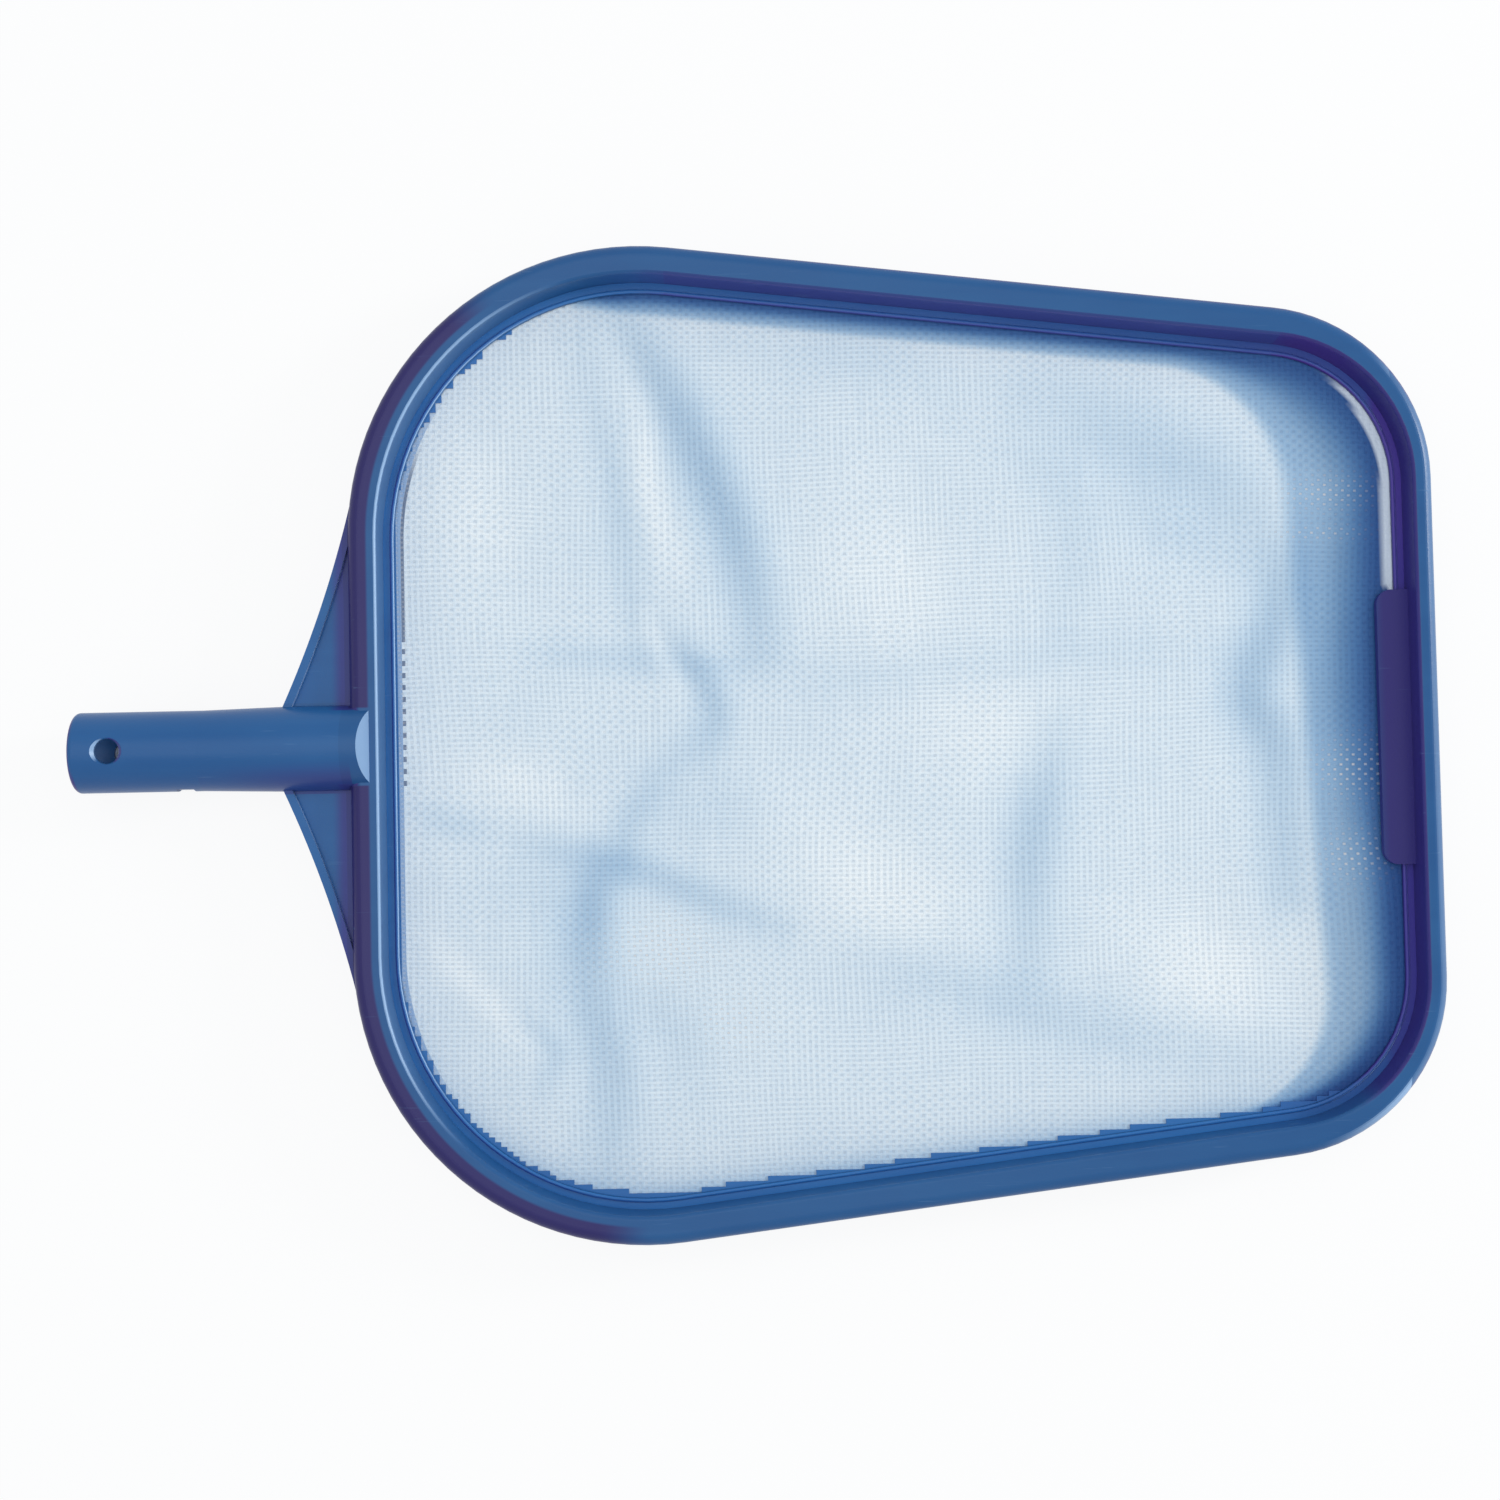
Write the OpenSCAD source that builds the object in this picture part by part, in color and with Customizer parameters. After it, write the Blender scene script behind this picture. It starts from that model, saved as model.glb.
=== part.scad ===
// Leaf skimmer net: a stepped plastic rim holding a flat net, two gussets
// and a tubular spigot that pushes into a telescopic pool pole.
// Millimetres, +Z up. The rim stands on Z = 0, the spigot points along -X,
// and the origin is under the middle of the whole part.

/* [Head outline] */
// Length of the rim from its back edge to its leading edge
head_l = 322; // [260:1:380]
// Width between the side lines where they would meet the back edge
back_w = 318; // [280:1:360]
// Lean of each side line from the length of the head, in degrees
side_a = 6.8954; // [5.5:0.1:8]
// Radius of the two corners beside the spigot
back_r = 86; // [50:1:92]
// Radius of the two corners at the leading edge
front_r = 52; // [36:1:62]

/* [Rim section] */
// Height of the rim
rim_h = 20; // [17:0.5:23]
// Radius of the rounded outer shoulder
shoulder_r = 3.6; // [2.4:0.2:4.2]
// Width of the rim from its outer face to the step wall
flange_w = 8.8; // [8.6:0.2:11]
// Amount that the flange is narrower along the leading edge
front_slim = 2.6; // [0:0.2:2.8]
// Thickness of the rim's moulded walls
rim_t = 2; // [1.4:0.1:2.4]
// Radius along the upper edge of the step wall
edge_r = 1.2; // [0.4:0.1:1.4]
// Depth of the step from the flange down to the ledge
step_d = 10.6; // [8:0.2:12]
// Sideways lean of the step wall over its depth
step_lean = 0.4; // [0.2:0.1:0.8]
// Width of the ledge between the step wall and the bead
ledge_w = 2; // [1:0.2:4]
// Width of the rounded bead that grips the net
bead_w = 1.3; // [0.8:0.1:2]
// Thickness of the ledge
ledge_t = 2.4; // [1.8:0.1:3]

/* [Net] */
// Thickness of the net
net_t = 0.6; // [0.4:0.1:1]
// Depth that the net is moulded into the bead and ledge
net_grip = 2.4; // [1.4:0.2:2.8]
// Gaps along the head
gaps_long = 17; // [9:1:17]
// Gaps across the head
gaps_wide = 16; // [8:1:16]
// Width of one strand of the net
strand_w = 2.2; // [1.4:0.2:4]
// Plain border inside the bead
border_w = 3; // [2:0.5:8]

/* [Spigot] */
// Length of the spigot outside the rim
spigot_l = 82; // [70:1:110]
// Outer diameter of the straight stretch that enters the pole
spigot_d = 24; // [22:0.2:25]
// Outer diameter at the root beside the rim
root_d = 25.4; // [25:0.2:25.8]
// Wall thickness of the spigot
spigot_t = 2.1; // [1.8:0.1:3]
// Length of the straight stretch
straight_l = 38; // [30:1:44]
// Length of the cone between the straight stretch and the root
cone_l = 26; // [16:1:34]
// Rounding of the free end
end_r = 1.6; // [0.8:0.1:1.8]
// Height of the spigot's axis above the rim's foot
axis_z = 13; // [13:0.2:14.4]
// Distance that the crown reaches over the flange
saddle_l = 6; // [4.5:0.2:7]
// Slope run of the crown's bevelled end
bevel_l = 3; // [1.5:0.2:3.4]

/* [Lock holes] */
// Diameter of the two snap button holes
lock_d = 7.4; // [6:0.2:7.6]
// Distance from the free end to the lock holes
lock_x = 11.8; // [10:0.2:14]
// Width of the countersink round each lock hole
lock_sink = 1; // [0.4:0.1:1.2]
// Distance from the free end to the key notch in the spigot's side
notch_x = 30; // [24:1:50]
// Length of the key notch
notch_l = 5.4; // [3:0.2:8]
// Depth of the key notch
notch_d = 0.6; // [0.3:0.1:0.8]

/* [Gussets] */
// Reach of each gusset along the rim, from the part's centre line
gusset_y = 73; // [62:1:78]
// Reach of each gusset along the spigot, from the rim's back edge
gusset_x = 20.5; // [14:0.5:28]
// Radius of the gusset's hollow outer edge
gusset_r = 340; // [200:10:600]
// Thickness of the web
web_t = 2.4; // [1.6:0.1:3.2]
// Height of the web's underside above the rim's foot
web_z = 11.6; // [8:0.2:13]
// Thickness of the rib along the outer edge
rib_t = 2.4; // [1.6:0.1:3.2]
// Height of the rib's foot above the rim's foot
rib_z = 2; // [1:0.2:6]
// Height of the rib's crest above the web
crest_h = 1.8; // [0.6:0.2:2.4]

/* [Leading edge tab] */
// Length of the tab along the leading edge
tab_l = 82; // [50:1:110]
// Reach of the tab inside the bead
tab_out = 6; // [3:0.5:9]
// Thickness of the tab
tab_t = 2; // [1.4:0.1:3]
// Radius of the tab's inner corners
tab_r = 4.5; // [2:0.5:5]

/* [Hidden] */
$fn = 96;

// Overlap that makes a cutter pass cleanly through a face
through = 1;

// Places along X, from the origin under the middle of the whole part
total_l = spigot_l + head_l;
free_x = -total_l / 2;
back_x = free_x + spigot_l;
front_x = total_l / 2;

// Levels of the rim section
ledge_z = rim_h - step_d;
net_z = ledge_z - (ledge_t + net_t) / 2;
foot_in = flange_w + step_lean;
bead_u = foot_in + ledge_w;
inner_u = bead_u + bead_w;
slot_u = inner_u - net_grip;

// The gusset's outer edge starts this far inside the spigot's root
root_lap = 0.9;

// The flange's flat plate laps the shoulder and the step wall by this much
plate_lap = 0.5;
plate_out = shoulder_r + plate_lap / 2;
plate_in = flange_w - edge_r - plate_lap / 2;

// Corners where the lines of the tapered outline would meet
corner_back = [back_x, back_w / 2];
corner_front = [front_x, back_w / 2 - head_l * tan(side_a)];

// Tangent length and arc centre of a rounded corner. The back corner is
// closed to 90 - side_a degrees and the front one is opened to 90 + side_a.
back_run = back_r / tan((90 - side_a) / 2);
front_run = front_r / tan((90 + side_a) / 2);
back_c = [back_x + back_r, corner_back.y - back_run];
front_c = [front_x - front_r, corner_front.y - front_run];

// Length of the straight side between the two corners' arcs
side_run = (front_c - back_c) * [cos(side_a), -sin(side_a)];

// Points on an arc round a centre, from angle a to angle b
function arc(c, r, a, b, n = 24) = [
    for (i = [0:n])
        let (t = a + (b - a) * i / n)
        c + r * [cos(t), sin(t)]
];

// Upper half of the head outline, drawn in by u from the outer face, with its
// leading edge moved on by ahead along the side lines
function half_outline(u, ahead) = concat(
    arc(back_c, back_r - u, 180, 90 - side_a),
    arc(front_c + ahead * [1, -tan(side_a)], front_r - u, 90 - side_a, 0)
);

function flipped(pts) = [for (i = [len(pts) - 1:-1:0]) [pts[i].x, -pts[i].y]];

// The whole head outline, drawn in by u
module head_outline(u, ahead = 0) {
    half = half_outline(u, ahead);
    polygon(concat(half, flipped(half)));
}

// Section of the rim's outer wall and shoulder, with x drawn inwards from the
// outer face and y upwards. The rim is a channel open below.
module shoulder_section() {
    polygon(concat(
        [[0, 0]],
        arc([shoulder_r, rim_h - shoulder_r], shoulder_r, 180, 90, 10),
        [
            [plate_out + plate_lap, rim_h],
            [plate_out + plate_lap, rim_h - rim_t],
            [rim_t, rim_h - rim_t],
            [rim_t, 0]
        ]
    ));
}

// Section of the rim's step wall, its ledge and the slotted bead
module step_section() {
    polygon(concat(
        [[plate_in - plate_lap, rim_h]],
        arc([flange_w - edge_r, rim_h - edge_r], edge_r, 90, 0, 6),
        [
            [foot_in, ledge_z],
            [bead_u, ledge_z]
        ],
        arc([bead_u + bead_w / 2, ledge_z], bead_w / 2, 180, 0, 6),
        [
            [inner_u, net_z + net_t],
            [slot_u, net_z + net_t],
            [slot_u, net_z],
            [inner_u, net_z],
            [inner_u, ledge_z - ledge_t],
            [foot_in - rim_t, ledge_z - ledge_t],
            [flange_w - rim_t, rim_h - rim_t],
            [plate_in - plate_lap, rim_h - rim_t]
        ]
    ));
}

// Outer form of the rim, filled to the flange, for what seats against it
module rim_form() {
    polygon(concat(
        [[0, -through]],
        arc([shoulder_r, rim_h - shoulder_r], shoulder_r, 180, 90, 10),
        [
            [flange_w + through, rim_h],
            [flange_w + through, -through]
        ]
    ));
}

// Frames along the left half of the outline, each set on the one before it,
// so that the stretches on either side of a frame share one end plane. In
// each frame the outline crosses the X axis and runs on along -Y.
module at_back_corner() {
    translate([back_c.x, back_c.y, 0]) children();
}

module at_side() {
    at_back_corner() rotate([0, 0, 90 - side_a]) children();
}

module at_front_corner(ahead) {
    at_side()
        translate([back_r - front_r, -side_run - ahead / cos(side_a), 0])
        children();
}

module at_front(ahead) {
    at_front_corner(ahead) rotate([0, 0, side_a - 90]) children();
}

// A block that keeps what lies on the +Y side of a frame, or on its -Y side
module keep_ahead() {
    translate([-back_w, 0, -back_w]) cube(2 * back_w);
}

module keep_behind() {
    mirror([0, 1, 0]) keep_ahead();
}

// A section placed r from the frame's axis, with its x drawn back inwards
module placed(r) {
    translate([r, 0]) mirror([1, 0]) children();
}

// A straight stretch of a section, from the frame's X axis along -Y
module stretch(r, l) {
    rotate([90, 0, 0]) linear_extrude(l) placed(r) children();
}

module mirrored_y() {
    children();
    mirror([0, 1, 0]) children();
}

// A section carried along the back bar and round the two corners beside it
module back_bend() {
    mirrored_y() {
        at_back_corner() mirror([1, 0, 0]) stretch(back_r, back_c.y) children();
        intersection() {
            at_back_corner() rotate_extrude() placed(back_r) children();
            at_back_corner() keep_ahead();
            at_side() keep_ahead();
        }
    }
}

// A section carried along the leading edge
module front_bar(ahead = 0) {
    mirrored_y()
        intersection() {
            at_front(ahead) stretch(front_r, front_c.y + through) children();
            keep_ahead();
        }
}

// A section carried round the whole head outline
module round_the_head(ahead = 0) {
    back_bend() children();
    mirrored_y() {
        at_side() stretch(back_r, side_run + ahead / cos(side_a)) children();
        intersection() {
            at_front_corner(ahead) rotate_extrude() placed(front_r) children();
            at_front_corner(ahead) keep_behind();
            at_front(ahead) keep_ahead();
        }
    }
    front_bar(ahead) children();
}

// The step wall runs further ahead than the outer wall, which makes the
// flange between them slimmer along the leading edge
module rim() {
    color("steelblue") {
        round_the_head() shoulder_section();
        round_the_head(front_slim) step_section();
        translate([0, 0, rim_h - rim_t])
            linear_extrude(rim_t)
            difference() {
                head_outline(plate_out);
                head_outline(plate_in, front_slim);
            }
    }
}

module net() {
    // Square gaps on one pitch in the field that the bead leaves free
    field_l = head_l + front_slim - 2 * (inner_u + border_w);
    field_w = back_w - 2 * (inner_u + border_w);
    pitch_x = (field_l + strand_w) / gaps_long;
    pitch_y = (field_w + strand_w) / gaps_wide;
    color("aliceblue")
        translate([0, 0, net_z])
        linear_extrude(net_t)
        difference() {
            head_outline(slot_u, front_slim);
            intersection() {
                head_outline(inner_u + border_w, front_slim);
                for (i = [0:gaps_long - 1], j = [0:gaps_wide - 1])
                    translate([
                        back_x + inner_u + border_w + i * pitch_x,
                        (j - gaps_wide / 2) * pitch_y + strand_w / 2
                    ])
                        square([pitch_x - strand_w, pitch_y - strand_w]);
            }
        }
}

// Half outline of the spigot's outer form, along its own axis
module spigot_outline() {
    r = spigot_d / 2;
    root_r = root_d / 2;
    polygon(concat(
        [[0, 0]],
        arc([r - end_r, end_r], end_r, -90, 0, 8),
        [
            [r, straight_l],
            [root_r, straight_l + cone_l],
            [root_r, spigot_l + saddle_l],
            [0, spigot_l + saddle_l]
        ]
    ));
}

module along_spigot() {
    translate([free_x, 0, axis_z]) rotate([0, 90, 0]) children();
}

module lock_hole() {
    sink_z = spigot_d / 2 - lock_sink;
    translate([free_x + lock_x, 0, axis_z]) {
        cylinder(h = spigot_d + 2 * through, d = lock_d, center = true);
        for (side = [0, 180])
            rotate([side, 0, 0])
            translate([0, 0, sink_z])
            cylinder(h = 2 * lock_sink, d1 = lock_d, d2 = lock_d + 4 * lock_sink);
    }
}

module spigot() {
    bore_l = spigot_l - spigot_t;
    bore_d = spigot_d - 2 * spigot_t;
    crown_z = axis_z + root_d / 2;
    end_x = back_x + saddle_l;
    color("steelblue")
        difference() {
            along_spigot() rotate_extrude() spigot_outline();
            along_spigot()
                translate([0, 0, -through])
                cylinder(h = bore_l + through, d = bore_d);
            lock_hole();
            // Key notch in the side
            translate([free_x + notch_x, -spigot_d / 2 - through, axis_z - spigot_d / 4])
                cube([notch_l, notch_d + through, spigot_d / 2]);
            // Bevelled end of the crown
            rotate([90, 0, 0])
                translate([0, 0, -root_d])
                linear_extrude(2 * root_d)
                polygon([
                    [end_x, rim_h],
                    [end_x - bevel_l, crown_z],
                    [end_x - bevel_l, crown_z + through],
                    [end_x + through, crown_z + through],
                    [end_x + through, rim_h]
                ]);
            // Seat against the rim
            back_bend() rim_form();
        }
}

// Plan of one gusset, with its edge hollowed by a large circle
module gusset_plan(width) {
    near = [back_x - gusset_x, root_d / 2 - root_lap];
    past_straight = max(0, gusset_y - back_c.y);
    far = [back_c.x - sqrt(back_r * back_r - past_straight * past_straight), gusset_y];
    inside_rim = back_x + flange_w / 2;
    span = norm(far - near);
    way = (far - near) / span;
    hollow_c = (near + far) / 2
        + sqrt(gusset_r * gusset_r - span * span / 4) * [-way.y, way.x];
    intersection() {
        polygon([
            [near.x, 0],
            near,
            far,
            [inside_rim, gusset_y],
            [inside_rim, 0]
        ]);
        difference() {
            if (width > 0)
                translate(hollow_c) circle(r = gusset_r + width, $fn = 360);
            else
                translate([near.x, 0]) square([back_r, gusset_y + through]);
            translate(hollow_c) circle(r = gusset_r, $fn = 360);
        }
    }
}

module gusset() {
    color("steelblue")
        difference() {
            union() {
                translate([0, 0, web_z]) linear_extrude(web_t) gusset_plan(0);
                translate([0, 0, rib_z])
                    linear_extrude(web_z + web_t + crest_h - rib_z)
                    gusset_plan(rib_t);
            }
            along_spigot() rotate_extrude() spigot_outline();
            back_bend() rim_form();
        }
}

module left_gusset() {
    gusset();
}

module right_gusset() {
    mirror([0, 1, 0]) gusset();
}

module edge_tab() {
    root_x = front_x + front_slim - flange_w;
    tip_x = front_x + front_slim - inner_u - tab_out;
    color("slateblue")
        difference() {
            translate([0, 0, ledge_z])
                linear_extrude(bead_w / 2 + tab_t)
                difference() {
                    translate([tip_x, -tab_l / 2]) square([root_x - tip_x, tab_l]);
                    for (side = [-1, 1])
                        translate([tip_x, side * tab_l / 2])
                        difference() {
                            square(2 * tab_r, center = true);
                            translate([tab_r, -side * tab_r]) circle(tab_r);
                        }
                }
            // Seat on the ledge, the bead and the step wall
            front_bar(front_slim) step_section();
        }
}

rim();
net();
spigot();
left_gusset();
right_gusset();
edge_tab();
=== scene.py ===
"""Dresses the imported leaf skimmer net: moulded blue plastic on the rim, spigot,
gussets and tab, a sheer woven net with its folds, and the cells of the net
that the moulding filled beside the bead."""
import math

import bpy
import numpy as np
from mathutils import Matrix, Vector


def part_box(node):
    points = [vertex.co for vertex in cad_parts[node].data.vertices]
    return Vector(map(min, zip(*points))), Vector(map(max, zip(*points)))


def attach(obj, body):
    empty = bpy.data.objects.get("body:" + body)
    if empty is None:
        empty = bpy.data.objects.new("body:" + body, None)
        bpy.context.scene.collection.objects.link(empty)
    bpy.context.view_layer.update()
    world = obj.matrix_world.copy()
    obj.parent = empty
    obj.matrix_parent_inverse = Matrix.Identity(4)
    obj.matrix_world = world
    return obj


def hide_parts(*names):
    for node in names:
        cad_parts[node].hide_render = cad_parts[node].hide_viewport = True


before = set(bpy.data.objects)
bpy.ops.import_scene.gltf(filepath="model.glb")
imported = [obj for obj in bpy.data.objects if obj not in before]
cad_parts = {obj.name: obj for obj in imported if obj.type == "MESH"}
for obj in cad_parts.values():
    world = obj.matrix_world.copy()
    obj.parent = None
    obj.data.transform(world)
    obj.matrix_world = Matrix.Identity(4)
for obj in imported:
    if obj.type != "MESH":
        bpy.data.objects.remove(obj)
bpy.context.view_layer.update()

bl_info = {
    "name": "Leaf Skimmer Net",
    "version": (1, 0, 0),
    "blender": (4, 5, 0),
    "location": "3D View > Sidebar > Skimmer",
    "description": "Builds the finish of a leaf skimmer head around its CAD frame",
    "category": "Object",
}

MM = 0.001

# The head outline, as the CAD model has it, in metres and radians
RIM_LOW, RIM_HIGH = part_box("rim")
NET_LOW, NET_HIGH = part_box("net")
BACK_X, FRONT_X = RIM_LOW.x, RIM_HIGH.x
BACK_HALF = 159.0 * MM
SIDE_LEAN = math.radians(6.8954)
BACK_RADIUS, FRONT_RADIUS = 86.0 * MM, 52.0 * MM
BACK_CORNER = (
    BACK_X + BACK_RADIUS,
    BACK_HALF - BACK_RADIUS / math.tan((math.pi / 2 - SIDE_LEAN) / 2),
)
PAN_AHEAD = 2.6 * MM
BEAD_INSET = 12.5 * MM
SLOT_INSET = 10.1 * MM
NET_LEVEL = (NET_LOW.z + NET_HIGH.z) / 2
NET_CENTRE = (40.0 * MM, 0.0)

# How finely the outline and the net's surface are drawn
OUTLINE_POINTS = 1440
NET_RINGS, NET_SPOKES = 150, 480

# Where the painted shade and painted light on the moulding change: along the part,
GUSSETS_END = -155.0 * MM
LEFT_LEDGE_END = 170.0 * MM
LEADING_WALL = 184.5 * MM
LEADING_FLANGE = 190.0 * MM
PAN_END = 197.5 * MM
# above its foot,
LEDGE_LOW, LEDGE_HIGH = 8.5 * MM, 11.5 * MM
SHOULDER_FOOT = 14.5 * MM
SKIRT_TOP = 16.5 * MM
PAN_TOP = 19.2 * MM
FLANGE_TOP = 19.5 * MM
# inside its outline and beside its centre line
SHOULDER_WIDTH = 6.3 * MM
CROWN_HALF = 11.2 * MM
SPIGOT_HALF = 13.5 * MM

# The marks in the net beside the back edge, a band of painted highlight and a
# dark dashed line: how far inside the bead's face they lie, how far apart the
# dashes are and between which places they run
BEAD_HIGHLIGHT_BAND = 1.9 * MM
DARK_LINE_START, DARK_LINE_END = 1.6 * MM, 2.9 * MM
DASH_PITCH = 3.6 * MM
DASH_RIGHT, DASH_LEFT = -12.0 * MM, 32.0 * MM

# The painted shade beside the bead, the rim's shadow painted blue on the net:
# how far back and to the right its inner boundary lies, and how much further
# back for each metre to the left
RIM_SHADE_BACK, RIM_SHADE_RIGHT, RIM_SHADE_SKEW = 27.0 * MM, 2.0 * MM, 0.055

# The cells that the moulding filled: how far their reach wavers, and how far
# they stand below and above the net's level
FILL_WAVER = 0.7 * MM
FILL_BELOW, FILL_ABOVE = 0.25 * MM, 0.35 * MM

# The ground under the spigot's free end: its middle and two half sizes
SPIGOT_GROUND = (-160.0 * MM, 42.0 * MM, 10.0 * MM)

# The direction of the key light from the part, along it, across it and up,
# the level share of it at unit length, and where the edges with painted
# highlights face
KEY_DIRECTION = np.array([0.901, 0.248, 0.357])
KEY_PLAN = KEY_DIRECTION[:2] / np.hypot(*KEY_DIRECTION[:2])
HIGHLIGHT_SIDE = (0.97, -0.24)

# The camera: its place, its lens, how far it leans and how far it is rolled
CAMERA_PLACE = (-1.85 * MM, -27.86 * MM, 667.11 * MM)
CAMERA_LENS, CAMERA_SENSOR = 52.8, 36.0
CAMERA_LEAN, CAMERA_ROLL = math.radians(2.1697), math.radians(-1.1798)

# Fixed colours, red, green, blue and alpha
WHITE = (1.0, 1.0, 1.0, 1.0)
GROUND_WHITE = (0.95, 0.96, 0.97, 1.0)
SKY_WHITE = (0.86, 0.93, 1.0, 1.0)
SCUFF_BLUE = (0.20, 0.34, 0.55, 1.0)
# Painted light on the net's strip beside the bead
LIT_STRIP_WHITE = (0.80, 0.88, 0.97, 1.0)
# Painted highlight of the back edge's bead, laid on the net beside it
BEAD_HIGHLIGHT_BLUE = (0.27, 0.43, 0.68, 1.0)
# The dark dashed line beside the bead
DASH_BLUE = (0.07, 0.12, 0.24, 1.0)
# Painted light that lightens the painted shade: how much more red, green and blue the
# left side's step wall and ledge show
LEFT_WALL_PAINTED_LIGHT = (1.0, 0.15, 0.22)
LEFT_LEDGE_PAINTED_LIGHT = (0.6, 0.15, 0.1)

# Creases and soft swells of the net: the half width in
# millimetres, how deep the cloth is creased, from 1, a full crease, to below 0,
# a raised swell, and the points that it runs through, x and y in millimetres
# The depth also sets painted shade along a crease and painted light along a swell
FOLDS = (
    # the long crease from the left shoulder to the middle, and its companions
    (9, 0.9, ((-40, 130), (-22, 100), (-12, 78), (-4, 58), (2, 30))),
    (5, -0.3, ((-42, 125), (-32, 100), (-30, 75), (-23, 52))),
    (6, 0.3, ((-52, 122), (-42, 85), (-38, 55), (-34, 25))),
    (16, -0.2, ((-90, 100), (-82, 70), (-80, 48))),
    # the pinched spot behind the middle and the crease that crosses it
    (5, 0.3, ((-68, 28), (-48, 26), (-28, 24), (-5, 22))),
    (4, -0.35, ((-32, 38), (-28, 28), (-21, 16))),
    (6, 0.6, ((-27, 32), (-18, 22), (-12, 8), (-16, -4))),
    (6, 0.35, ((-20, 2), (-32, -14), (-38, -24), (-40, -38))),
    (11, 0.2, ((-32, -26), (-14, -19), (2, -24))),
    (10, -0.25, ((-92, -8), (-70, -12), (-56, -20))),
    # the crease from the back edge, its branch to the right and its far end
    (5, 0.3, ((-102, -19), (-92, -23), (-80, -26))),
    (6, 0.55, ((-68, -30), (-50, -35), (-34, -39), (-12, -49), (6, -56))),
    (9, 0.6, ((-46, -36), (-51, -50), (-51, -75), (-45, -100), (-48, -128))),
    (8, 0.5, ((-47, -38), (-50, -48), (-51, -60))),
    (10, 0.3, ((30, -66), (62, -76), (108, -90), (155, -100))),
    (8, 0.15, ((-84, -42), (-65, -46), (-63, -78))),
    (9, 0.2, ((-40, -72), (-26, -86), (-20, -102))),
    (4, 0.35, ((-70, -82), (-62, -92), (-66, -103))),
    (5, -0.25, ((-100, -57), (-85, -73), (-72, -88))),
    # the middle and the leading half
    (7, 0.15, ((-8, 24), (28, 18), (70, 22), (145, 25))),
    (9, 0.55, ((90, 0), (85, -20), (81, -40), (79, -70))),
    (14, 0.45, ((88, 103), (115, 87), (140, 74), (157, 50))),
    (9, 0.85, ((159, 50), (158, 36), (149, 12), (156, -8), (158, -48))),
    (9, 0.2, ((80, 86), (96, 68), (95, 33))),
    (9, 0.2, ((110, 68), (128, 59), (144, 52))),
    (9, 0.2, ((-5, 120), (35, 115), (60, 105))),
    (17, -0.3, ((14, -28), (35, -45), (58, -54))),
    (20, -0.3, ((116, -61), (135, -71), (152, -72))),
    (22, -0.25, ((38, 70), (42, 50), (62, 42))),
    (17, -0.2, ((42, 8), (70, 3), (98, 5))),
)

# Where the weave is pulled open: x, y and the two half widths in millimetres
OPEN_PATCHES = (
    (171, 71, 12, 5),
    (169, 59, 11, 2),
    (176, -12, 9, 8),
    (177, -38, 8, 7),
    (-30, -62, 18, 12),
    (-8, -84, 12, 10),
)


# ---------------------------------------------------------------- surfaces


def smooth(t):
    """A ramp from 0 to 1: 3 t squared minus 2 t cubed, held at its ends."""
    t = np.clip(t, 0.0, 1.0)
    return t * t * (3.0 - 2.0 * t)


def bell(t):
    """1 at 0, falling off to both sides: exp(-(t squared))."""
    return np.exp(-(t**2))


def arc(centre, radius, start, stop, count):
    """Points on a circle: the centre plus the radius times (cos, sin) of an
    angle that runs evenly from start to stop."""
    angle = np.linspace(start, stop, count)
    return np.stack(
        [centre[0] + radius * np.cos(angle), centre[1] + radius * np.sin(angle)], 1
    )


def head_outline(inset, count):
    """The tapered rounded outline, drawn in by the inset, as count points at
    equal steps of length, from the middle of the back edge towards +Y. Two
    circles per side touch the back edge, the leaning side and the front edge,
    and the front circle is moved on along the side by the pan's lead."""
    opened = (math.pi / 2 + SIDE_LEAN) / 2
    front_half = BACK_HALF - (FRONT_X - BACK_X) * math.tan(SIDE_LEAN)
    front = (
        FRONT_X - FRONT_RADIUS + PAN_AHEAD,
        front_half - FRONT_RADIUS / math.tan(opened) - PAN_AHEAD * math.tan(SIDE_LEAN),
    )
    lean = math.pi / 2 - SIDE_LEAN
    half = np.concatenate(
        [
            [[BACK_X + inset, 0.0]],
            arc(BACK_CORNER, BACK_RADIUS - inset, math.pi, lean, 160),
            arc(front, FRONT_RADIUS - inset, lean, 0.0, 120),
        ]
    )
    loop = np.concatenate([half, half[:0:-1] * (1.0, -1.0), half[:1]])
    run = np.concatenate([[0.0], np.cumsum(np.hypot(*np.diff(loop, axis=0).T))])
    at = np.linspace(0.0, run[-1], count, endpoint=False)
    return np.stack([np.interp(at, run, loop[:, 0]), np.interp(at, run, loop[:, 1])], 1)


def distance_inwards(points, inset):
    """Distance of each point from the outline at the inset, positive inside,
    and the outward direction at the nearest place of the outline. The nearest
    of many outline points is taken and the offset is measured along its normal."""
    loop = head_outline(inset, OUTLINE_POINTS)
    tangent = np.roll(loop, -1, axis=0) - np.roll(loop, 1, axis=0)
    tangent /= np.hypot(*tangent.T)[:, None]
    outward = np.stack([-tangent[:, 1], tangent[:, 0]], 1)
    near = np.empty(len(points), int)
    batch = 4096
    for first in range(0, len(points), batch):
        part = points[first : first + batch]
        gap = part[:, None, :] - loop[None, :, :]
        near[first : first + batch] = (gap**2).sum(2).argmin(1)
    offset = points - loop[near]
    return -(offset * outward[near]).sum(1), outward[near]


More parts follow.
